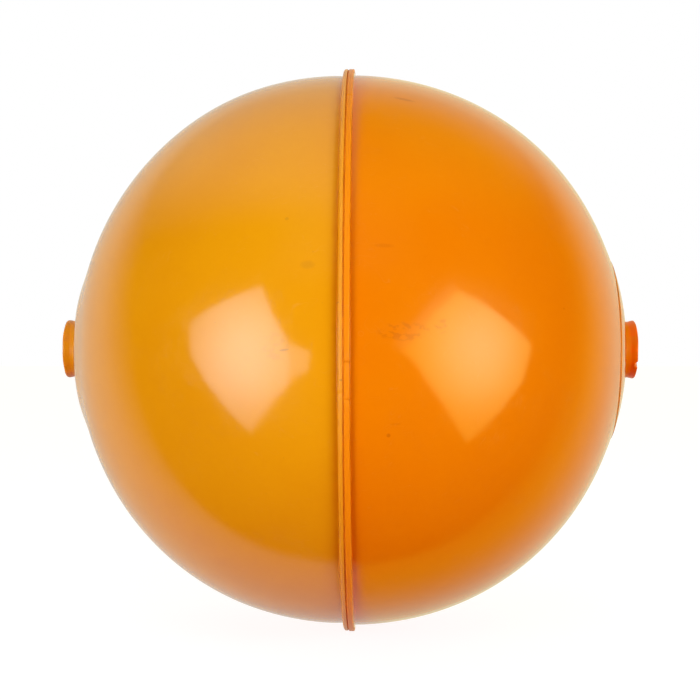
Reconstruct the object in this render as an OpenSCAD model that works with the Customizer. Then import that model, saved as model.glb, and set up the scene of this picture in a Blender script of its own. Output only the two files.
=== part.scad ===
// Hollow plastic float ball: two moulded half shells welded at a lipped rim,
// with a sleeve through both poles for the line that it is threaded on.
// The ball's axis is X and its centre is the origin. +Z is up. All sizes are in millimetres.

/* [Shells] */
// Outside diameter of the plain ball
ball_d = 150; // [130:1:170]
// Thickness of the shell wall
wall = 2.4; // [1.8:0.1:3]

/* [Rim flange] */
// How far the rim lips stand out from the ball
rim_out = 1.3; // [0.8:0.1:2]
// Thickness of the left shell's rim lip
left_lip = 1.2; // [0.8:0.1:1.6]
// Thickness of the right shell's rim lip
right_lip = 1.4; // [0.8:0.1:1.6]
// Rounding of the rim lips' outer edges
rim_round = 0.3; // [0.1:0.05:0.35]

/* [Pole pads] */
// Diameter of the raised round pad at each pole
pad_d = 49; // [36:1:60]
// Height of the pad above the ball
pad_out = 0.3; // [0.2:0.1:1.2]

/* [Necks] */
// Outside diameter of the neck at each pole
neck_d = 15.4; // [14:0.1:17]
// How far the neck stands out beyond the ball
neck_out = 3.5; // [2.5:0.1:6]
// How far the lip at the neck's end stands out from the neck
neck_lip_out = 0.3; // [0.2:0.05:1]
// Length of the lip along the neck
neck_lip_len = 1; // [0.8:0.1:1.6]
// Diameter of the collar inside the shell that holds the sleeve
collar_d = 18; // [16:0.5:24]
// Length of the collar inside the shell wall, measured at the pole
collar_len = 6; // [4:0.5:12]

/* [Sleeve] */
// Bore through the sleeve, for the line
bore_d = 9; // [6:0.5:10]
// Outside diameter of the sleeve
sleeve_d = 12; // [11.5:0.1:12.5]
// How far the sleeve's ends sit back inside the necks
sleeve_back = 0.5; // [0:0.1:1]

/* [Welds and seals] */
// Width of the weld line between the two rims
weld_w = 0.3; // [0.2:0.05:0.6]
// How far the weld line sits below the lips' outer edge
weld_back = 0.4; // [0.2:0.1:1]
// Width of the squeezed-out weld bead on the inside of the rim
bead_w = 2; // [1:0.1:3]
// Size of the cement fillet between each collar and the sleeve
fillet = 2; // [1:0.1:2.5]

/* [Hidden] */
$fn = 180;

ball_r = ball_d / 2;
inner_r = ball_r - wall;
rim_r = ball_r + rim_out;
pad_r = pad_d / 2;
neck_r = neck_d / 2;
neck_end = ball_r + neck_out;
collar_r = collar_d / 2;
collar_start = inner_r - collar_len;
sleeve_r = sleeve_d / 2;
sleeve_end = neck_end - sleeve_back;
weld_half = weld_w / 2;
eps = 0.01;

// Turns a profile, drawn as (distance from the axis, distance along it), about the X axis.
module about_x() rotate([0, 90, 0]) rotate_extrude() children();

// A flat bar whose two outer corners are rounded: from r0 to r1 across, y0 to y1 along.
module bar(r0, r1, y0, y1, round) {
    translate([r0, y0]) square([r1 - r0 - round, y1 - y0]);
    translate([r0, y0 + round]) square([r1 - r0, y1 - y0 - 2 * round]);
    for (y = [y0 + round, y1 - round]) translate([r1 - round, y]) circle(round);
}

// The wall of one half, from the weld face to the pole.
module dome_profile() intersection() {
    difference() {
        circle(ball_r);
        circle(inner_r);
    }
    translate([0, weld_half]) square(ball_r + 1);
}

// The pad follows the ball, and its side is parallel to the axis so that it leaves the mould.
module pad_profile() intersection() {
    difference() {
        circle(ball_r + pad_out);
        circle(ball_r - wall / 2);
    }
    square([pad_r, ball_r + 1]);
}

module neck_profile() {
    translate([0, collar_start]) square([collar_r, inner_r + wall / 2 - collar_start]);
    translate([0, inner_r]) square([neck_r, neck_end - inner_r - eps]);
    bar(0, neck_r + neck_lip_out, neck_end - neck_lip_len, neck_end, neck_lip_len * 0.35);
}

// One half shell, its pole on +X.
module half_shell(lip) about_x() difference() {
    union() {
        dome_profile();
        bar(inner_r, rim_r, weld_half, weld_half + lip, rim_round);
        pad_profile();
        neck_profile();
    }
    square([sleeve_r, neck_end + 1]);
}

module left_shell() color("goldenrod") mirror([1, 0, 0]) half_shell(left_lip);

module right_shell() color("darkorange") half_shell(right_lip);

module centre_sleeve() color("orange") about_x() {
    translate([bore_d / 2, -sleeve_end]) square([(sleeve_d - bore_d) / 2, 2 * sleeve_end]);
}

// The fused line between the lips, with the bead that it pushes out on the inside.
module rim_weld() color("chocolate") about_x() {
    translate([inner_r - weld_w, -weld_half]) square([rim_r - weld_back - inner_r + weld_w, weld_w]);
    intersection() {
        translate([inner_r, 0]) circle(bead_w / 2);
        translate([0, -bead_w]) square([ball_r, 2 * bead_w]);
        circle(inner_r);
    }
}

// A fillet of cement where the collar's inner end meets the sleeve.
module neck_seal() about_x() {
    polygon([
        [sleeve_r, collar_start],
        [sleeve_r + fillet, collar_start],
        [sleeve_r, collar_start - fillet]
    ]);
}

module left_neck_seal() color("tan") mirror([1, 0, 0]) neck_seal();

module right_neck_seal() color("tan") neck_seal();

left_shell();
right_shell();
centre_sleeve();
rim_weld();
left_neck_seal();
right_neck_seal();
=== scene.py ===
"""Looks of the two-colour hollow float ball: two welded half shells on a centre sleeve."""

import math

import bmesh
import bpy
import numpy as np
from mathutils import Matrix, Vector


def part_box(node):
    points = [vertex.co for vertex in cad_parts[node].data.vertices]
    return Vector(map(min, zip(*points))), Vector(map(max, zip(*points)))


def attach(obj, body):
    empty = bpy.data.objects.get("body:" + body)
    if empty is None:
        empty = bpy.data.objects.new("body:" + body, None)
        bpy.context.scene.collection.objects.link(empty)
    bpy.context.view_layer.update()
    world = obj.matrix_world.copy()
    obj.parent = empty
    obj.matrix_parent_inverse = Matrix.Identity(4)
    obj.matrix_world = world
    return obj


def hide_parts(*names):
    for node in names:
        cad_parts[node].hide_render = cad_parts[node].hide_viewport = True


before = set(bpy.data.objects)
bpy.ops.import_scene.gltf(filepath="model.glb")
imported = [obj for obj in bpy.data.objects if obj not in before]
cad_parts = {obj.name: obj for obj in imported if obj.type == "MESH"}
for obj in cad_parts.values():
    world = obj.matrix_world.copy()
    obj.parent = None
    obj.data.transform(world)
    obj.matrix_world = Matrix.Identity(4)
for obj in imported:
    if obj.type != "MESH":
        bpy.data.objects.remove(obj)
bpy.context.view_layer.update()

MM = 0.001

# Sizes that the CAD nodes' boxes give.
RIM_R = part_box("right_shell")[1].z
NECK_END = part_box("right_shell")[1].x
SLEEVE_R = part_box("centre_sleeve")[1].z
SLEEVE_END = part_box("centre_sleeve")[1].x
WELD_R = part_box("rim_weld")[1].z
COLLAR_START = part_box("right_neck_seal")[1].x
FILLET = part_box("right_neck_seal")[1].z - SLEEVE_R

# Sizes that the boxes don't give. The pads and the necks' lips are drawn a little closer to the
# real ball than in the CAD, and differ between the halves.
BALL_R = 75 * MM
WALL = 2.4 * MM
WELD_HALF = 0.15 * MM
LIP = {"left": 1.2 * MM, "right": 1.4 * MM}
PAD_R = {"left": 23.4 * MM, "right": 25.4 * MM}
PAD_TOP = 0.22 * MM
PAD_WALL = 0.12 * MM
CREASE = 0.1 * MM
NECK_R = 7.7 * MM
NECK_LIP_R = 8.0 * MM
NECK_LIP_LEN = 2.0 * MM
COLLAR_R = 9 * MM
NECK_RISE = {"left": 0.36 * MM, "right": 0.12 * MM}
NECK_SHORT = {"left": 0.1 * MM, "right": 0.25 * MM}
BORE_R = 4.5 * MM
BEAD_R = 1.0 * MM
INNER_R = BALL_R - WALL

# Columns round the axis of a half shell, before the closer ones at its nicks.
COLUMNS = 360
SIDE = {"left": -1, "right": 1}

# Directions round the ball's axis are degrees from the front (-Y), positive upwards.
# Nicks in the rim lips: (direction, half width in mm, depth in mm).
NICKS = {
    "left": [
        (-7.2, 0.5, 0.16), (28, 0.3, 0.12), (97, 0.5, 0.15), (171, 0.4, 0.18), (238, 0.5, 0.14),
    ],
    "right": [
        (-2.0, 0.22, 0.22), (-8.4, 0.25, 0.16), (55, 0.3, 0.14), (133, 0.5, 0.2), (205, 0.35, 0.15),
    ],
}
# The chip in the right neck's lip: direction, half width in degrees, depth.
CHIP = (-31, 8, 0.75 * MM)
# The left lip's top falls away from this share of its width. The right lip has a fine line at this one.
CROWN_AT = 0.55
LINE_AT = 0.42
# Where each pad's face starts and stops falling away, in degrees from the pole.
PAD_FALL = {"left": (12, 18), "right": (15, 19.5)}

# The ball isn't quite round. It is fullest at this many degrees from the pole, the upper shoulder is
# centred here with this spread, and the right half swells a little beside its pad.
FULLEST_AT = 52
SHOULDER_AT, SHOULDER_SPREAD = 68, 18
SWELL, SWELL_AT, SWELL_SPREAD = 0.14, 19.5, 3
# The dip beside the rim: its depth in mm, and how far along the axis it reaches.
RIM_DIP = {"left": (0.2, 2.6 * MM), "right": (0.1, 1.8 * MM)}


def ripple(angles, seed, waves, size):
    """A smooth wandering line round the axis, of about that size."""
    draw = np.random.default_rng(seed)
    total = np.zeros_like(angles)
    for count in waves:
        total += np.cos(count * angles + draw.uniform(0, 2 * math.pi)) * draw.uniform(0.5, 1)
    return total * size / math.sqrt(len(waves))


def smoothstep(low, high, value):
    t = np.clip((value - low) / (high - low), 0, 1)
    return t * t * (3 - 2 * t)


def rounded(corners, steps=5):
    """A closed outline with its corners rounded: each corner is (x, r, radius)."""
    out = []
    count = len(corners)
    for i, (x, r, radius) in enumerate(corners):
        here = np.array([x, r])
        if radius == 0:
            out.append(here)
            continue
        before = np.array(corners[i - 1][:2]) - here
        after = np.array(corners[(i + 1) % count][:2]) - here
        reach_before, reach_after = np.linalg.norm(before), np.linalg.norm(after)
        before, after = before / reach_before, after / reach_after
        half = math.acos(np.clip(before @ after, -1, 1)) / 2
        cut = min(radius / math.tan(half), 0.49 * reach_before, 0.49 * reach_after)
        middle = here + (before + after) / np.linalg.norm(before + after) * cut / math.cos(half)
        start, end = here + before * cut - middle, here + after * cut - middle
        for k in range(steps + 1):
            blend = (1 - k / steps) * start + (k / steps) * end
            out.append(middle + blend / np.linalg.norm(blend) * cut * math.tan(half))
    return np.array(out)


def polar(radius, degrees, corner=0):
    """A corner on a circle round the ball's centre, degrees from the pole."""
    t = math.radians(degrees)
    return (radius * math.cos(t), radius * math.sin(t), corner)


def pad_fall(degrees, side):
    """How far the pad's face lies below its top: the right pad keeps a wall, the left one has none."""
    drop = PAD_TOP - PAD_WALL if side == "right" else PAD_TOP
    return drop * smoothstep(*PAD_FALL[side], degrees)


def shell_outline(side):
    """The closed section of one half shell: (along the axis, out from it)."""
    pad_r = PAD_R[side]
    face, back = WELD_HALF, WELD_HALF + LIP[side]
    foot = math.sqrt(BALL_R**2 - back**2)
    pad_top_r = BALL_R + PAD_TOP
    pad_angle = math.degrees(math.asin(pad_r / BALL_R))
    neck_foot = math.sqrt(pad_top_r**2 - NECK_R**2)
    lip_start = NECK_END - NECK_LIP_LEN
    corners = [(face, INNER_R, 0), (face, RIM_R, 0.16 * MM)]
    if side == "left":
        corners += [
            (face + CROWN_AT * (back - face), RIM_R, 0.5 * MM),
            (back, RIM_R - 0.3 * MM, 0.35 * MM),
        ]
    else:
        line = face + LINE_AT * (back - face)
        across = ((-0.14, 0), (0, 0.06), (0.14, 0))
        corners += [(line + step * MM, RIM_R - depth * MM, 0) for step, depth in across]
        corners.append((back, RIM_R, 0.45 * MM))
    corners.append((back, foot, 0.12 * MM))
    corners += [polar(BALL_R, a) for a in (88.4, 87.8, 87.0, 86.0, 84.8, 83.4, 81.8, 80.0)]
    corners += [polar(BALL_R, a) for a in np.arange(78, pad_angle + 0.9, -1.5)]
    if side == "right":
        corners += [
            polar(BALL_R, pad_angle + 0.3),
            polar(BALL_R - CREASE, pad_angle + 0.1),
            polar(BALL_R + PAD_WALL, pad_angle - 0.05, 0.12 * MM),
        ]
    face_angles = np.arange(pad_angle - 0.8, 7.4, -1.2)
    corners += [polar(pad_top_r - pad_fall(a, side), a) for a in face_angles]
    corners += [
        (neck_foot, NECK_R, 0.35 * MM),
        (lip_start, NECK_R, 0.9 * MM),
        (NECK_END - 0.45 * MM, NECK_LIP_R, 0.35 * MM),
        (NECK_END, NECK_LIP_R - 0.05 * MM, 0.35 * MM),
        (NECK_END, SLEEVE_R + 0.05 * MM, 0.2 * MM),
        (NECK_END - 0.6 * MM, SLEEVE_R + 0.01 * MM, 0),
        (BALL_R, SLEEVE_R + 0.01 * MM, 0),
        (COLLAR_START, SLEEVE_R + 0.01 * MM, 0),
        (COLLAR_START, COLLAR_R, 0.3 * MM),
        (math.sqrt(INNER_R**2 - COLLAR_R**2), COLLAR_R, 0.8 * MM),
    ]
    corners += [polar(INNER_R, a) for a in np.arange(9.5, 88, 3.5)]
    return rounded(corners)


def columns(centres, spread=1.1, step=0.11):
    """The directions of a turned piece's columns, in radians, closer together at each centre."""
    found = list(np.arange(COLUMNS) * 360 / COLUMNS)
    for centre in centres:
        found += list((centre + np.arange(-spread, spread, step)) % 360)
    return np.radians(np.unique(np.round(found, 3)))


def turned(name, along, out, angles, side=1):
    """A closed mesh from arrays of axial and radial places, by outline point and by column."""
    rows, cols = along.shape
    places = np.stack([side * along, -out * np.cos(angles), out * np.sin(angles)], axis=-1)
    faces = []
    for i in range(rows):
        low, high = i * cols, ((i + 1) % rows) * cols
        for j in range(cols):
            k = (j + 1) % cols
            faces.append((low + j, low + k, high + k, high + j))
    mesh = bpy.data.meshes.new(name)
    mesh.from_pydata(places.reshape(-1, 3).tolist(), [], faces)
    work = bmesh.new()
    work.from_mesh(mesh)
    bmesh.ops.recalc_face_normals(work, faces=work.faces)
    work.to_mesh(mesh)
    work.free()
    for polygon in mesh.polygons:
        polygon.use_smooth = True
    piece = bpy.data.objects.new(name, mesh)
    bpy.context.scene.collection.objects.link(piece)
    even = piece.modifiers.new("even shading", "WEIGHTED_NORMAL")
    even.mode = "FACE_AREA"
    even.weight = 60
    return piece


def out_of_round(along, out, angles, side):
    """The moulding's small errors, in mm: full shoulders, sunken by the pad, a dip beside the rim."""
    reach = np.hypot(along, out)
    from_pole = np.degrees(np.arctan2(out, along))
    move = -0.05 + 0.27 * np.cos(np.radians(4 * (from_pole - FULLEST_AT)))
    upper = np.clip(np.sin(angles), 0, 1)
    shoulder = np.exp(-(((from_pole - SHOULDER_AT) / SHOULDER_SPREAD) ** 2))
    if side == "left":
        move += -0.32 + 0.1 * np.sin(angles) + (0.15 + 0.3 * upper) * shoulder
    else:
        move -= 0.1 * upper * shoulder
    dip, dip_reach = RIM_DIP[side]
    move -= dip * np.exp(-((along / dip_reach) ** 2))
    below_lip = 1 - smoothstep(BALL_R + 0.9 * MM, BALL_R + 1.25 * MM, reach)
    if side == "left":
        off_pad = smoothstep(PAD_R[side] - 5 * MM, PAD_R[side] + 4 * MM, out)
    else:
        move += SWELL * np.exp(-(((from_pole - SWELL_AT) / SWELL_SPREAD) ** 2))
        off_pad = out > PAD_R[side] - 0.05 * MM
    move = move * MM * below_lip * off_pad
    return along + move * along / reach, out + move * out / reach


def half_shell(side):
    """One half with its rim lip, pad, neck and collar: turned, then worn and a little uneven."""
    lip = LIP[side]
    section = shell_outline(side)
    angles = columns([nick[0] for nick in NICKS[side]])
    along = np.repeat(section[:, :1], len(angles), axis=1)
    out = np.repeat(section[:, 1:], len(angles), axis=1)
    seed = 11 if side == "left" else 23

    on_lip = smoothstep(0.1, 0.9, (out - BALL_R) / (RIM_R - BALL_R)) * (along < 4 * MM)
    back_edge = on_lip * (along > WELD_HALF + lip / 2)
    on_neck_end = smoothstep(NECK_END - 1.6 * MM, NECK_END, along) * (out < COLLAR_R)
    along, out = out_of_round(along, out, angles, side)

    # The lip wanders, sits a little off centre and has its nicks.
    out = out + on_lip * ripple(angles, seed, (2, 3, 5, 9, 17, 31), 0.045 * MM)
    out = out + on_lip * (-SIDE[side] * 0.05) * MM * (np.sin(angles) - 1)
    along = along + back_edge * ripple(angles, seed + 1, (2, 3, 7, 13, 29, 47), 0.05 * MM)
    for direction, half_width, depth in NICKS[side]:
        away = (np.degrees(angles) - direction + 180) % 360 - 180
        near = np.exp(-((np.radians(away) * RIM_R / (half_width * MM)) ** 2))
        out = out - on_lip * near * depth * MM

    # The neck's end is cut a little short and uneven, and the neck sits a little high.
    end_ripple = ripple(angles, seed + 2, (1, 2, 3, 5, 8), 0.07 * MM)
    along = along - on_neck_end * (NECK_SHORT[side] + end_ripple)
    out = out + on_neck_end * ripple(angles, seed + 3, (2, 3, 5), 0.05 * MM)
    on_neck = smoothstep(BALL_R - 0.8 * MM, BALL_R + 0.4 * MM, along)
    on_neck = on_neck * (out > SLEEVE_R + 0.5 * MM)
    out = out + on_neck * NECK_RISE[side] * np.sin(angles)
    if side == "right":
        direction, half_width, depth = CHIP
        away = (np.degrees(angles) - direction + 180) % 360 - 180
        bite = (1 - smoothstep(0.35, 1, np.abs(away) / half_width)) * (out > NECK_R * 0.9)
        along = along - on_neck_end * bite * depth
    return turned(f"{side}_half_shell", along, out, angles, SIDE[side])


def sleeve_tube():
    """The extruded tube, its sawn ends a little out of square."""
    bevel = 0.25 * MM
    section = rounded([
        (-SLEEVE_END, BORE_R, bevel),
        (-SLEEVE_END, SLEEVE_R, bevel),
        (-SLEEVE_END / 2, SLEEVE_R, 0),
        (0, SLEEVE_R, 0),
        (SLEEVE_END / 2, SLEEVE_R, 0),
        (SLEEVE_END, SLEEVE_R, bevel),
        (SLEEVE_END, BORE_R, bevel),
        (SLEEVE_END / 2, BORE_R, 0),
        (0, BORE_R, 0),
        (-SLEEVE_END / 2, BORE_R, 0),
    ])
    angles = np.radians(np.arange(0, 360, 3.0))
    along = np.repeat(section[:, :1], len(angles), axis=1)
    out = np.repeat(section[:, 1:], len(angles), axis=1)
    at_end = smoothstep(SLEEVE_END - 1 * MM, SLEEVE_END, np.abs(along))
    along = along - np.sign(along) * at_end * (0.12 * MM + ripple(angles, 5, (1, 2, 4), 0.07 * MM))
    return turned("sleeve_tube", along, out, angles)


def weld_ring():
    """The fused line between the lips: its outer edge wanders, and a bead stands inside."""
    section = rounded([
        (-WELD_HALF, INNER_R, 0),
        (-WELD_HALF, WELD_R + 0.2 * MM, 0.06 * MM),
        (WELD_HALF, WELD_R + 0.2 * MM, 0.06 * MM),
        (WELD_HALF, INNER_R, 0),
        (BEAD_R * 0.95, INNER_R - 0.1 * MM, 0.1 * MM),
        (BEAD_R * 0.7, INNER_R - BEAD_R * 0.85, 0.5 * MM),
        (-BEAD_R * 0.7, INNER_R - BEAD_R * 0.85, 0.5 * MM),
        (-BEAD_R * 0.95, INNER_R - 0.1 * MM, 0.1 * MM),
    ], steps=3)
    angles = np.radians(np.arange(0, 360, 0.5))
    along = np.repeat(section[:, :1], len(angles), axis=1)
    out = np.repeat(section[:, 1:], len(angles), axis=1)
    edge = out > BALL_R
    bead = out < INNER_R - 0.2 * MM
    out = out + edge * (ripple(angles, 41, (3, 8, 19, 37, 61, 90), 0.06 * MM) - 0.04 * MM)
    out = out - bead * ripple(angles, 42, (5, 11, 23, 40), 0.12 * MM)
    along = along * (1 + bead * ripple(angles, 43, (4, 9, 21), 0.12))
    return turned("rim_weld_ring", along, out, angles)


def cement_fillet(side):
    """The cement between a collar's end and the sleeve, uneven where it is free."""
    section = rounded([
        (COLLAR_START, SLEEVE_R + 0.01 * MM, 0),
        (COLLAR_START, SLEEVE_R + FILLET, 0.3 * MM),
        (COLLAR_START - FILLET * 0.35, SLEEVE_R + FILLET * 0.35, 0.8 * MM),
        (COLLAR_START - FILLET, SLEEVE_R + 0.01 * MM, 0.1 * MM),
    ])
    angles = np.radians(np.arange(0, 360, 3.0))
    along = np.repeat(section[:, :1], len(angles), axis=1)
    out = np.repeat(section[:, 1:], len(angles), axis=1)
    free = 1 - smoothstep(COLLAR_START - FILLET, COLLAR_START, along)
    seed = 61 if side == "left" else 62
    along = along + free * (0.2 * MM + ripple(angles, seed, (1, 2, 3, 5), 0.12 * MM))
    return turned(f"{side}_cement_fillet", along, out, angles, SIDE[side])


# Materials. Every one reads the piece's own coordinates, which are the row frame, in millimetres.


class Nodes:
    """Short calls for building one material's nodes."""

    def __init__(self, name):
        self.material = bpy.data.materials.new(name)
        self.material.use_nodes = True
        self.tree = self.material.node_tree
        self.shader = self.tree.nodes["Principled BSDF"]
        where = self.tree.nodes.new("ShaderNodeTexCoord")
        scale = self.tree.nodes.new("ShaderNodeVectorMath")
        scale.operation = "SCALE"
        self.link(where.outputs["Object"], scale.inputs[0])
        scale.inputs["Scale"].default_value = 1 / MM
        self.place = scale.outputs[0]
        apart = self.tree.nodes.new("ShaderNodeSeparateXYZ")
        self.link(self.place, apart.inputs[0])
        self.along = self.math("ABSOLUTE", apart.outputs["X"])
        self.height = self.math("ABSOLUTE", apart.outputs["Z"])
        across, up = (self.math("POWER", apart.outputs[axis], 2) for axis in ("Y", "Z"))
        self.out = self.math("SQRT", self.math("ADD", across, up))

    def link(self, source, target):
        self.tree.links.new(source, target)

    def put(self, value, target):
        if hasattr(value, "is_linked"):
            self.link(value, target)
        else:
            target.default_value = value

    def math(self, operation, a, b=None):
        node = self.tree.nodes.new("ShaderNodeMath")
        node.operation = operation
        for value, target in zip((a, b), node.inputs):
            if value is not None:
                self.put(value, target)
        return node.outputs[0]

    def ramp(self, value, low, high, start=0.0, end=1.0):
        """A smooth change from start to end as value goes from low to high."""
        node = self.tree.nodes.new("ShaderNodeMapRange")
        node.interpolation_type = "SMOOTHSTEP"
        self.put(value, node.inputs["Value"])
        numbers = {"From Min": low, "From Max": high, "To Min": start, "To Max": end}
        for name, number in numbers.items():
            node.inputs[name].default_value = number
        return node.outputs["Result"]

    def noise(self, scale, detail=2.0, stretch=(1, 1, 1), turn=(0, 0, 0), offset=0.0, rough=0.5):
        spot = self.tree.nodes.new("ShaderNodeMapping")
        self.link(self.place, spot.inputs["Vector"])
        spot.inputs["Scale"].default_value = stretch
        spot.inputs["Rotation"].default_value = [math.radians(a) for a in turn]
        spot.inputs["Location"].default_value = (offset, offset * 1.7, -offset)
        node = self.tree.nodes.new("ShaderNodeTexNoise")
        self.link(spot.outputs[0], node.inputs["Vector"])
        node.inputs["Scale"].default_value = scale
        node.inputs["Detail"].default_value = detail
        node.inputs["Roughness"].default_value = rough
        return node.outputs["Fac"]

    def mix(self, share, a, b):
        node = self.tree.nodes.new("ShaderNodeMix")
        node.data_type = "RGBA"
        self.put(share, node.inputs["Factor"])
        for value, target in ((a, node.inputs["A"]), (b, node.inputs["B"])):
            self.put((*value, 1) if isinstance(value, tuple) else value, target)
        return node.outputs["Result"]

    def scratches(self, seed, turn, width=0.006, length=7, share=0.56):
        """Fine short scratches along one direction, where a second noise lets them show."""
        lines = self.noise(0.16, 1.0, (1, length, 1), turn, seed)
        near = self.math("ABSOLUTE", self.math("SUBTRACT", lines, 0.5))
        thin = self.ramp(near, 0, width, 1, 0)
        shown = self.ramp(self.noise(0.11, 2.0, offset=seed * 3.1), share, share + 0.06)
        return self.math("MULTIPLY", thin, shown)

    def specks(self, scale, size, share, seed):
        """Small round spots, of a random radius up to size: this share of the cells has one."""
        spot = self.tree.nodes.new("ShaderNodeMapping")
        self.link(self.place, spot.inputs["Vector"])
        spot.inputs["Location"].default_value = (seed, -seed, seed * 2)
        cells = self.tree.nodes.new("ShaderNodeTexVoronoi")
        self.link(spot.outputs[0], cells.inputs["Vector"])
        cells.inputs["Scale"].default_value = scale
        apart = self.tree.nodes.new("ShaderNodeSeparateColor")
        self.link(cells.outputs["Color"], apart.inputs[0])
        chosen = self.math("LESS_THAN", apart.outputs[0], share)
        radius = self.math("MULTIPLY", apart.outputs[1], size * scale)
        inside = self.math("LESS_THAN", cells.outputs["Distance"], radius)
        return self.math("MULTIPLY", chosen, inside)

    def mark(self, side, direction, from_pole, length, width, turn=0.0, soft=0.5):
        """A ragged spot on the ball: where it is, its length and width in mm, its turn and edge."""
        t, p = math.radians(direction), math.radians(from_pole)
        normal = Vector((side * math.cos(p), -math.sin(p) * math.cos(t), math.sin(p) * math.sin(t)))
        along = Vector((1, 0, 0)).cross(normal).cross(normal).normalized()
        along = Matrix.Rotation(math.radians(turn), 3, normal) @ along
        across = normal.cross(along)
        centre = normal * BALL_R / MM
        total = None
        for axis, size in ((along, length / 2), (across, width / 2), (normal, 3.0)):
            dot = self.tree.nodes.new("ShaderNodeVectorMath")
            dot.operation = "DOT_PRODUCT"
            self.link(self.place, dot.inputs[0])
            dot.inputs[1].default_value = axis
            part = self.math("SUBTRACT", dot.outputs["Value"], axis.dot(centre))
            part = self.math("POWER", self.math("DIVIDE", part, size), 2)
            total = part if total is None else self.math("ADD", total, part)
        ragged = self.math("ADD", total, self.math("MULTIPLY", self.noise(1.3, 2.0), 0.8))
        return self.ramp(ragged, 1.4 - soft, 1.4 + soft, 1, 0)

    def bump(self, height, distance, strength=1.0, under=None):
        node = self.tree.nodes.new("ShaderNodeBump")
        node.inputs["Strength"].default_value = strength
        node.inputs["Distance"].default_value = distance
        self.link(height, node.inputs["Height"])
        if under is not None:
            self.link(under, node.inputs["Normal"])
        return node.outputs["Normal"]


# Each half's colours, with the painted shade beside the rim, and its wear. A mark is (share of stain,
# direction, degrees from the pole, length and width in mm, turn, softness). A blotched region is its
# direction, degrees, length and width.
LOOKS = {
    "left": {
        "base": (0.75, 0.328, 0.002),
        "deep": (0.71, 0.291, 0.0015),
        # The next colour is painted shade beside the rim, and the reach further down is how far that
        # shade goes, in mm.
        "painted_rim_shade": (0.62, 0.175, 0.001),
        "lip": (0.79, 0.32, 0.01),
        "neck": (0.76, 0.28, 0.008),
        "gloss": (1.0, 1.0, 0.95),
        "stain": (0.16, 0.07, 0.03),
        "painted_rim_shade_to": 3.5,
        "lip_gloss": 0.45,
        "blotch_share": 0.12,
        "blotched": [(0.5, 78.3, 6, 6), (120, 62, 11, 5)],
        "marks": [
            (0.35, 0, 79.8, 2.2, 0.5, 8, 0.5),
            (0.11, 15, 83.8, 3, 1.8, 0, 0.9),
            (0.15, 24, 80, 0.9, 0.8, 0, 0.5),
            (0.3, 8, 89.1, 0.7, 0.4, 0, 0.5),
            (0.3, -5, 89.7, 0.9, 0.5, 0, 0.5),
            (0.4, 140, 48, 6, 0.8, 40, 0.5),
        ],
    },
    "right": {
        "base": (0.75, 0.207, 0.0003),
        "deep": (0.72, 0.182, 0.0003),
        # The next colour is painted shade beside the rim, and the reach further down is how far that
        # shade goes, in mm.
        "painted_rim_shade": (0.7, 0.115, 0.0003),
        "lip": (0.82, 0.27, 0.004),
        "neck": (0.86, 0.15, 0.0003),
        "gloss": (1.0, 0.96, 0.45),
        "stain": (0.4, 0.06, 0.0005),
        "painted_rim_shade_to": 2.1,
        "lip_gloss": 0.16,
        "blotch_share": 0.28,
        "blotched": [(3.2, 79.2, 12, 4), (4.5, 73, 3, 4), (230, 40, 10, 6)],
        "marks": [
            (0.4, 58, 79, 5.0, 1.4, -6, 0.9),
            (0.4, -15, 82.2, 0.9, 0.9, 0, 0.5),
            (0.12, -13, 81, 2.6, 0.5, 0, 0.5),
            (0.15, 18.5, 83, 4, 0.9, 0, 0.9),
            (0.5, -36, 26, 1.4, 0.9, 0, 0.5),
            (0.25, -2, 89.3, 2.0, 0.3, 0, 0.5),
            (0.2, -8.3, 89.3, 2.0, 0.3, 0, 0.5),
            (0.4, 200, 55, 7, 0.9, 25, 0.5),
        ],
    },
}
# Fine scratches run in these directions, each with its own seed.
SCRATCHES = ((1, (0, 0, 20)), (2, (35, 0, 80)), (3, (0, 50, 130)), (4, (80, 20, 10)))


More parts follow.
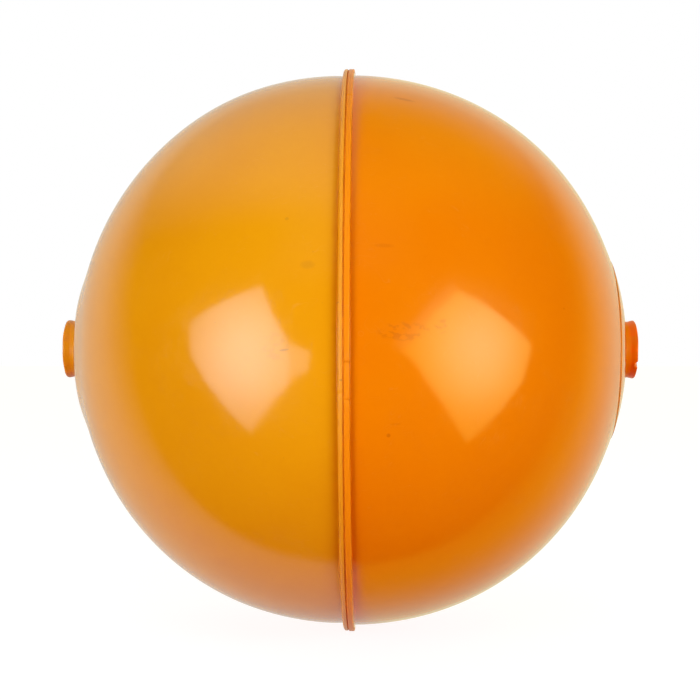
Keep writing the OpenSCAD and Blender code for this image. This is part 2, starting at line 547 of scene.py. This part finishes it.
def shell_plastic(side):
    """Smooth moulded plastic: cloudy pigment, painted shade beside the rim and in the right pad's
    crease, a deeper tint at the neck, and wear.
    """
    look = LOOKS[side]
    ball, rim, pad = BALL_R / MM, RIM_R / MM, PAD_R[side] / MM
    n = Nodes(f"{side}_shell_plastic")
    cloud = n.ramp(n.noise(0.03, 3.0, offset=4), 0.35, 0.7, 0, 0.55)
    colour = n.mix(cloud, look["base"], look["deep"])
    mottle = n.ramp(n.noise(0.7, 3.0, offset=9), 0.35, 0.75, 0, 0.12)
    colour = n.mix(mottle, colour, look["deep"])

    # Painted shade beside the rim, where the lip shades the shell, weaker on the lip; then the lip's
    # own colour.
    wander = n.math("MULTIPLY", n.noise(0.25, 2.0), 0.8)
    painted_rim_shade = n.ramp(n.math("ADD", n.along, wander), 1.4, look["painted_rim_shade_to"], 1, 0)
    off_lip = n.ramp(n.out, ball + 0.1, ball + 0.8, 0.85, 0.15)
    colour = n.mix(n.math("MULTIPLY", painted_rim_shade, off_lip), colour, look["painted_rim_shade"])
    colour = n.mix(n.ramp(n.out, ball + 0.5, ball + 0.9, 0, 0.7), colour, look["lip"])

    # On the neck.
    on_neck = n.math("MULTIPLY", n.ramp(n.along, 73.2, 74.6), n.ramp(n.out, 7.9, 8.8, 1, 0))
    up_neck = n.ramp(n.math("ADD", n.along, wander), ball + 0.9, ball + 1.9)
    streak = n.ramp(n.noise(0.45, 3.0, (0.3, 1, 1), offset=21), 0.35, 0.65, 0.45, 1.0)
    colour = n.mix(n.math("MULTIPLY", up_neck, streak), colour, look["neck"])

    # Specks, blotches and wear marks.
    coarse = n.math("MULTIPLY", n.specks(0.13, 0.4, 0.16, 3), 0.3)
    fine = n.math("MULTIPLY", n.specks(0.45, 0.16, 0.12, 7), 0.2)
    dirt = n.math("MAXIMUM", coarse, fine)
    blotches = n.ramp(n.noise(1.1, 3.0, (0.5, 1, 1), offset=31), 0.51, 0.6)
    for region in look["blotched"]:
        here = n.math("MULTIPLY", n.mark(SIDE[side], *region), look["blotch_share"])
        dirt = n.math("MAXIMUM", dirt, n.math("MULTIPLY", blotches, here))
    for share, *place in look["marks"]:
        mark = n.math("MULTIPLY", n.mark(SIDE[side], *place), share)
        dirt = n.math("MAXIMUM", dirt, mark)
    colour = n.mix(dirt, colour, look["stain"])

    # Painted shade in the right pad's crease, least at mid height.
    if side == "right":
        near_neck = n.ramp(n.along, 60, 62)
        off_crease = n.math("ABSOLUTE", n.math("SUBTRACT", n.out, pad + 0.05))
        painted_crease_shade = n.math("MULTIPLY", n.ramp(off_crease, 0.06, 0.22, 0.4, 0), near_neck)
        painted_crease_shade = n.math("MULTIPLY", painted_crease_shade, n.ramp(n.height, 3, 11, 0.2, 1))
        # Painted shade, darkest at the crease's top and bottom.
        colour = n.mix(painted_crease_shade, colour, (0.3, 0.11, 0.03))

    worn = None
    for seed, turn in SCRATCHES:
        lines = n.scratches(seed, turn)
        worn = lines if worn is None else n.math("MAXIMUM", worn, lines)
    colour = n.mix(n.math("MULTIPLY", worn, 0.04), colour, (1.0, 0.62, 0.3))
    n.link(colour, n.shader.inputs["Base Color"])

    rough = n.ramp(n.noise(0.05, 4.0, offset=17, rough=0.6), 0.4, 0.75, 0.0, 0.04)
    for more in (
        n.ramp(n.noise(2.4, 2.0, offset=5), 0.3, 0.7, 0.085, 0.11),
        n.math("MULTIPLY", worn, 0.08),
        n.math("MULTIPLY", dirt, 0.3),
        n.math("MULTIPLY", on_neck, 0.22),
        n.ramp(n.out, ball + 0.4, ball + 0.8, 0, 0.22),
    ):
        rough = n.math("ADD", rough, more)
    n.link(rough, n.shader.inputs["Roughness"])

    peel = n.bump(n.noise(0.22, 2.0, offset=2), 0.03 * MM, 0.2)
    grain = n.bump(n.noise(1.6, 2.0, offset=8), 0.004 * MM, 0.3, peel)
    scored = n.bump(n.math("SUBTRACT", 1.0, worn), 0.01 * MM, 0.5, grain)
    n.link(scored, n.shader.inputs["Normal"])

    # Full gloss on the ball, next to none on the lip's sides, some on its top, less on the neck and
    # on the right pad.
    lip_side = n.ramp(n.out, ball + 0.15, ball + 0.4, 0.5, 0.02)
    lip_top = n.ramp(n.out, rim - 0.35, rim - 0.1, 0, look["lip_gloss"])
    gloss = n.math("MAXIMUM", lip_side, lip_top)
    gloss = n.math("SUBTRACT", gloss, n.math("MULTIPLY", on_neck, 0.28))
    if side == "right":
        on_pad = n.math("MULTIPLY", n.ramp(n.out, pad - 0.3, pad, 1, 0), near_neck)
        on_pad = n.math("MULTIPLY", on_pad, n.math("SUBTRACT", 1.0, on_neck))
        gloss = n.math("SUBTRACT", gloss, n.math("MULTIPLY", on_pad, 0.2))
    n.link(gloss, n.shader.inputs["Specular IOR Level"])
    n.shader.inputs["IOR"].default_value = 1.5
    n.shader.inputs["Specular Tint"].default_value = (*look["gloss"], 1)
    return n.material


def tube_plastic():
    """Dull extruded tube with fine lines along it."""
    n = Nodes("sleeve_plastic")
    lines = n.noise(0.9, 2.0, (0.04, 1, 1), offset=3)
    colour = n.mix(n.ramp(lines, 0.3, 0.7), (0.78, 0.17, 0.008), (0.6, 0.11, 0.005))
    grime = n.ramp(n.noise(0.5, 3.0, offset=6), 0.5, 0.75, 0, 0.35)
    n.link(n.mix(grime, colour, (0.25, 0.1, 0.04)), n.shader.inputs["Base Color"])
    n.link(n.ramp(lines, 0.2, 0.8, 0.38, 0.55), n.shader.inputs["Roughness"])
    n.link(n.bump(lines, 0.05 * MM, 0.5), n.shader.inputs["Normal"])
    return n.material


def weld_plastic():
    """Fused plastic, darkened by dirt that has settled in the groove."""
    n = Nodes("weld_plastic")
    patch = n.ramp(n.noise(0.35, 3.0, offset=12), 0.35, 0.7)
    colour = n.mix(patch, (0.67, 0.18, 0.003), (0.77, 0.24, 0.004))
    n.link(colour, n.shader.inputs["Base Color"])
    n.link(n.ramp(n.noise(1.5, 2.0), 0.3, 0.7, 0.45, 0.65), n.shader.inputs["Roughness"])
    n.shader.inputs["Specular IOR Level"].default_value = 0.1
    n.link(n.bump(n.noise(1.8, 3.0, offset=1), 0.08 * MM, 0.6), n.shader.inputs["Normal"])
    return n.material


def cement():
    """Cured solvent cement: cloudy amber, glossy where it pooled."""
    n = Nodes("cement")
    cloud = n.ramp(n.noise(0.5, 3.0, offset=2), 0.3, 0.7)
    n.link(n.mix(cloud, (0.62, 0.4, 0.16), (0.5, 0.26, 0.08)), n.shader.inputs["Base Color"])
    n.link(n.ramp(n.noise(1.1, 2.0), 0.3, 0.7, 0.2, 0.4), n.shader.inputs["Roughness"])
    n.link(n.bump(n.noise(0.8, 2.0, offset=3), 0.15 * MM, 0.5), n.shader.inputs["Normal"])
    return n.material


def fit(piece, material, slot, *nodes):
    """Gives a piece its material and puts it in the place of its CAD nodes."""
    piece.data.materials.append(material)
    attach(piece, "root")
    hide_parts(*nodes)


# The studio. Directions are (azimuth, elevation) from the ball, azimuth 0 towards the camera.
CAMERA_AZIMUTH = 1.2
CAMERA_AWAY = 5 * BALL_R
LENS = 69.5
SENSOR = 36

# How far off the panels are, and how many degrees from its middle a panel is down to its edge's light.
LIGHT_AWAY = 0.9
PANEL_SPREAD = 30

# Tints of the surroundings: to the left and straight behind there, to the right and straight behind
# there, and of the bounce.
WHITE = (1.0, 1.0, 1.0, 1.0)
PALE = (1.0, 1.0, 0.88, 1.0)
AMBER = (1.0, 0.92, 0.06, 1.0)
WARM = (1.0, 1.0, 0.67, 1.0)
BOUNCE = (1.0, 0.1, 0.01, 1.0)

# Their levels, the white ground being 1.
SWEEP = 0.72
CEILING = 0.62
DARK_ROOM = 0.015
FLOOR_SHADE = 0.8
BOUNCE_ALL_ROUND = 0.15
BOUNCE_BELOW = 0.24
BOUNCE_BELOW_RIGHT = 0.25
FLOOR_GLOW = 0.91

# The two soft boxes with a dimmer card beside each, and the light above: their corners, and where
# they are brightest.
LEFT_LIGHT = [(-33, 22.5), (-63, 8.5), (-62, -1), (-40, -29.5), (-21.5, -13), (-20.5, -4), (-22, 4)]
LEFT_CARD = [(-22, 3), (-13, -1), (-14, -8), (-21.2, -11), (-20.5, -4)]
RIGHT_LIGHT = [(42, 21), (72.5, 1.5), (69, -9), (49.5, -32), (18, 0), (31, 14)]
RIGHT_CARD = [(15, 2), (29, 17), (40, 24), (42, 21), (31, 14), (18, 0)]
TOP_LIGHT = [(-30, 60), (30, 60), (30, 25), (-30, 25)]
LEFT_MIDDLE = (-37, -1)
LEFT_CARD_MIDDLE = (-22, -3)
RIGHT_MIDDLE = (47, 1)
RIGHT_CARD_MIDDLE = (30, 12)
TOP_MIDDLE = (0, 42)


def towards(azimuth, elevation):
    a, e = math.radians(azimuth + CAMERA_AZIMUTH), math.radians(elevation)
    return Vector((math.sin(a) * math.cos(e), -math.cos(a) * math.cos(e), math.sin(e)))


def camera():
    data = bpy.data.cameras.new("camera")
    data.lens, data.sensor_width = LENS, SENSOR
    data.clip_start, data.clip_end = 0.01, 50
    eye = bpy.data.objects.new("camera", data)
    eye.location = towards(0, 0) * CAMERA_AWAY
    eye.rotation_mode = "QUATERNION"
    eye.rotation_quaternion = (-eye.location).to_track_quat("-Z", "Y")
    bpy.context.scene.collection.objects.link(eye)
    bpy.context.scene.camera = eye


def light_panel(name, corners, middle, strength, edge, glossy=True, raised=0, edge_blue=1.0):
    """A flat soft light, brightest towards its middle. It shows in the gloss, or lights the colour.

    The corners and the middle are directions, raised by some degrees of elevation. At its edge the
    light has that share of its strength, and of its blue.
    """
    corners = [(azimuth, elevation + raised) for azimuth, elevation in corners]
    facing = towards(middle[0], middle[1] + raised)
    points = []
    for corner in corners:
        ray = towards(*corner)
        points.append(ray * LIGHT_AWAY / ray.dot(facing))
    mesh = bpy.data.meshes.new(name)
    mesh.from_pydata(points, [], [tuple(range(len(points)))])
    panel = bpy.data.objects.new(name, mesh)
    bpy.context.scene.collection.objects.link(panel)
    material = bpy.data.materials.new(name)
    material.use_nodes = True
    tree = material.node_tree
    tree.nodes.clear()
    glow = tree.nodes.new("ShaderNodeEmission")
    out = tree.nodes.new("ShaderNodeOutputMaterial")
    where = tree.nodes.new("ShaderNodeTexCoord")
    away = tree.nodes.new("ShaderNodeVectorMath")
    away.operation = "DISTANCE"
    away.inputs[1].default_value = facing * LIGHT_AWAY
    fall = tree.nodes.new("ShaderNodeMapRange")
    fall.interpolation_type = "SMOOTHSTEP"
    fall.inputs["From Max"].default_value = math.tan(math.radians(PANEL_SPREAD)) * LIGHT_AWAY
    fall.inputs["To Min"].default_value = strength
    fall.inputs["To Max"].default_value = strength * edge
    tree.links.new(where.outputs["Object"], away.inputs[0])
    tree.links.new(away.outputs["Value"], fall.inputs["Value"])
    tree.links.new(fall.outputs[0], glow.inputs["Strength"])
    blue = tree.nodes.new("ShaderNodeMapRange")
    blue.inputs["From Min"].default_value = strength * edge
    blue.inputs["From Max"].default_value = strength
    blue.inputs["To Min"].default_value = edge_blue
    colour = tree.nodes.new("ShaderNodeCombineColor")
    colour.inputs["Red"].default_value = 1.0
    colour.inputs["Green"].default_value = 1.0
    tree.links.new(fall.outputs[0], blue.inputs["Value"])
    tree.links.new(blue.outputs[0], colour.inputs["Blue"])
    tree.links.new(colour.outputs[0], glow.inputs["Color"])
    tree.links.new(glow.outputs[0], out.inputs["Surface"])
    mesh.materials.append(material)
    panel.visible_camera = False
    panel.visible_glossy = glossy
    panel.visible_diffuse = not glossy


def panels():
    """What shows in the gloss, and the raised copies and the top light that light the colour."""
    light_panel("left_light", LEFT_LIGHT, LEFT_MIDDLE, 6.8, 0.3)
    light_panel("left_card", LEFT_CARD, LEFT_CARD_MIDDLE, 2.6, 0.2)
    light_panel("right_light", RIGHT_LIGHT, RIGHT_MIDDLE, 6.8, 0.36, edge_blue=0.3)
    light_panel("right_card", RIGHT_CARD, RIGHT_CARD_MIDDLE, 1.1, 0.99, edge_blue=0.4)
    light_panel("left_wash", LEFT_LIGHT, LEFT_MIDDLE, 7.5, 0.3, glossy=False, raised=2)
    light_panel("right_wash", RIGHT_LIGHT, RIGHT_MIDDLE, 7.4, 0.36, glossy=False, raised=7)
    light_panel("fill", TOP_LIGHT, TOP_MIDDLE, 1.4, 0.6, glossy=False)


def surroundings():
    """A pale sweep behind, a ceiling that fades towards the camera, and a dark room in front.

    The colour also gets a warm bounce, mostly from below, and less of the sweep there. The camera
    itself sees plain white.
    """
    world = bpy.data.worlds.new("studio")
    bpy.context.scene.world = world
    world.use_nodes = True
    tree = world.node_tree
    tree.nodes.clear()

    def put(value, target):
        if hasattr(value, "is_linked"):
            tree.links.new(value, target)
        else:
            target.default_value = value

    def calc(operation, a, b):
        node = tree.nodes.new("ShaderNodeMath")
        node.operation = operation
        put(a, node.inputs[0])
        put(b, node.inputs[1])
        return node.outputs[0]

    def step(value, low, high, top=1.0):
        node = tree.nodes.new("ShaderNodeMapRange")
        node.interpolation_type = "SMOOTHSTEP"
        put(value, node.inputs["Value"])
        put(low, node.inputs["From Min"])
        put(high, node.inputs["From Max"])
        put(top, node.inputs["To Max"])
        return node.outputs["Result"]

    def mixed(share, a, b):
        node = tree.nodes.new("ShaderNodeMix")
        node.data_type = "RGBA"
        put(share, node.inputs["Factor"])
        put(a, node.inputs["A"])
        put(b, node.inputs["B"])
        return node.outputs["Result"]

    def background(colour, strength):
        node = tree.nodes.new("ShaderNodeBackground")
        put(colour, node.inputs["Color"])
        put(strength, node.inputs["Strength"])
        return node.outputs[0]

    where = tree.nodes.new("ShaderNodeTexCoord")
    apart = tree.nodes.new("ShaderNodeSeparateXYZ")
    tree.links.new(where.outputs["Generated"], apart.inputs[0])
    ahead, up = apart.outputs["Y"], apart.outputs["Z"]
    right = step(apart.outputs["X"], -0.02, 0.05)
    above = calc("MAXIMUM", up, 0.0)
    below = calc("MAXIMUM", calc("MULTIPLY", up, -1.0), 0.0)
    path = tree.nodes.new("ShaderNodeLightPath")
    lights_colour = path.outputs["Is Diffuse Ray"]

    # The sweep comes further forward below than above, and gives the colour less from below.
    sweep = calc("ADD", ahead, calc("MULTIPLY", below, 0.3))
    sweep = step(calc("SUBTRACT", sweep, calc("MULTIPLY", above, 0.4)), 0.03, 0.56, SWEEP)
    sweep = calc("MULTIPLY", sweep, step(ahead, 0.02, 0.13))
    shade = calc("MULTIPLY", lights_colour, step(below, 0.0, 0.3, FLOOR_SHADE))
    shade = calc("MULTIPLY", shade, calc("MAXIMUM", right, 0.3))
    sweep = calc("MULTIPLY", sweep, calc("SUBTRACT", 1.0, shade))

    ceiling = step(calc("ADD", up, calc("MULTIPLY", ahead, 0.35)), 0.5, 0.92, CEILING)
    room = calc("ADD", calc("MAXIMUM", sweep, ceiling), DARK_ROOM)
    room = calc("MULTIPLY", room, calc("ADD", 1.05, calc("MULTIPLY", right, 0.25)))
    behind = step(ahead, 0.25, 0.8)
    tint = mixed(right, mixed(behind, WHITE, PALE), mixed(behind, AMBER, WARM))

    bounce = step(below, 0.1, 0.7, BOUNCE_BELOW)
    bounce_right = calc("MULTIPLY", right, step(below, 0.4, 0.95, BOUNCE_BELOW_RIGHT))
    bounce = calc("ADD", calc("ADD", bounce, bounce_right), BOUNCE_ALL_ROUND)
    bounce = calc("MULTIPLY", bounce, lights_colour)

    both = tree.nodes.new("ShaderNodeAddShader")
    tree.links.new(background(tint, room), both.inputs[0])
    tree.links.new(background(BOUNCE, bounce), both.inputs[1])
    choose = tree.nodes.new("ShaderNodeMixShader")
    tree.links.new(path.outputs["Is Camera Ray"], choose.inputs[0])
    tree.links.new(both.outputs[0], choose.inputs[1])
    tree.links.new(background(WHITE, 1.0), choose.inputs[2])
    out = tree.nodes.new("ShaderNodeOutputWorld")
    tree.links.new(choose.outputs[0], out.inputs["Surface"])


def floor():
    """A pale floor under the rim. It glows, as a lit sweep does, so the shadow on it stays faint."""
    reach = 6.0
    mesh = bpy.data.meshes.new("floor")
    corners = [(-reach, -reach), (reach, -reach), (reach, reach), (-reach, reach)]
    mesh.from_pydata([(x, y, -RIM_R) for x, y in corners], [], [(0, 1, 2, 3)])
    plane = bpy.data.objects.new("floor", mesh)
    bpy.context.scene.collection.objects.link(plane)
    material = bpy.data.materials.new("floor")
    material.use_nodes = True
    shader = material.node_tree.nodes["Principled BSDF"]
    shader.inputs["Base Color"].default_value = (0.22, 0.22, 0.24, 1)
    shader.inputs["Roughness"].default_value = 0.9
    shader.inputs["Specular IOR Level"].default_value = 0.0
    shader.inputs["Emission Color"].default_value = WHITE
    shader.inputs["Emission Strength"].default_value = FLOOR_GLOW
    mesh.materials.append(material)
    plane.visible_diffuse = False
    plane.visible_glossy = False
    plane.visible_shadow = False
    plane.visible_transmission = False


camera()
panels()
surroundings()
floor()

for half in ("left", "right"):
    fit(half_shell(half), shell_plastic(half), f"{half}_shell_plastic", f"{half}_shell")
fit(sleeve_tube(), tube_plastic(), "sleeve_plastic", "centre_sleeve")
fit(weld_ring(), weld_plastic(), "weld_plastic", "rim_weld")
cement_look = cement()
for half in ("left", "right"):
    fit(cement_fillet(half), cement_look, "cement", f"{half}_neck_seal")

bpy.context.scene.view_settings.view_transform = "Standard"
